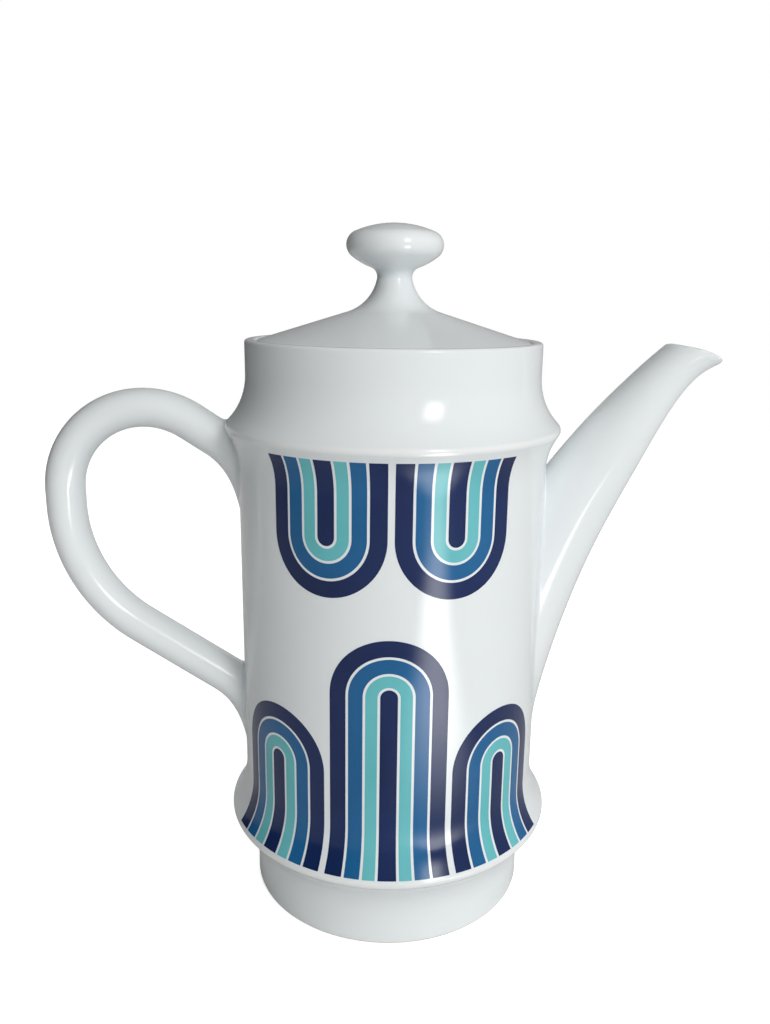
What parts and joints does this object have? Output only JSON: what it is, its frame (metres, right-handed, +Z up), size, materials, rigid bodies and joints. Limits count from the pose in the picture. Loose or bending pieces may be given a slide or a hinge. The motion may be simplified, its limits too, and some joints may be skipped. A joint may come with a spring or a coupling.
{
  "type": "coffee pot",
  "caption": "Tall cylindrical porcelain coffee pot with collar and foot, long tapered spout, ear-shaped handle and lift-off lid with a round knob, printed decoration.",
  "frame": {"origin": "on the table, at the centre of the foot ring and on the axis of the body", "axes": "+Z up along the axis of the body, +X towards the spout, -X towards the handle; the XZ plane is the plane of symmetry"},
  "size_m": [0.22, 0.1104, 0.2229],
  "materials": {
    "porcelain": "clear glossy glaze on white porcelain"
  },
  "bodies": {
    "pot": {"pot_body": "porcelain", "spout": "porcelain", "handle": "porcelain"},
    "lid": {"lid_cover": "porcelain", "lid_knob": "porcelain"}
  },
  "joints": [
    {"name": "lid_lift", "type": "slide", "parent": "pot", "child": "lid", "axis": [0, 0, 1], "range_m": [0, 0.06]}
  ]
}
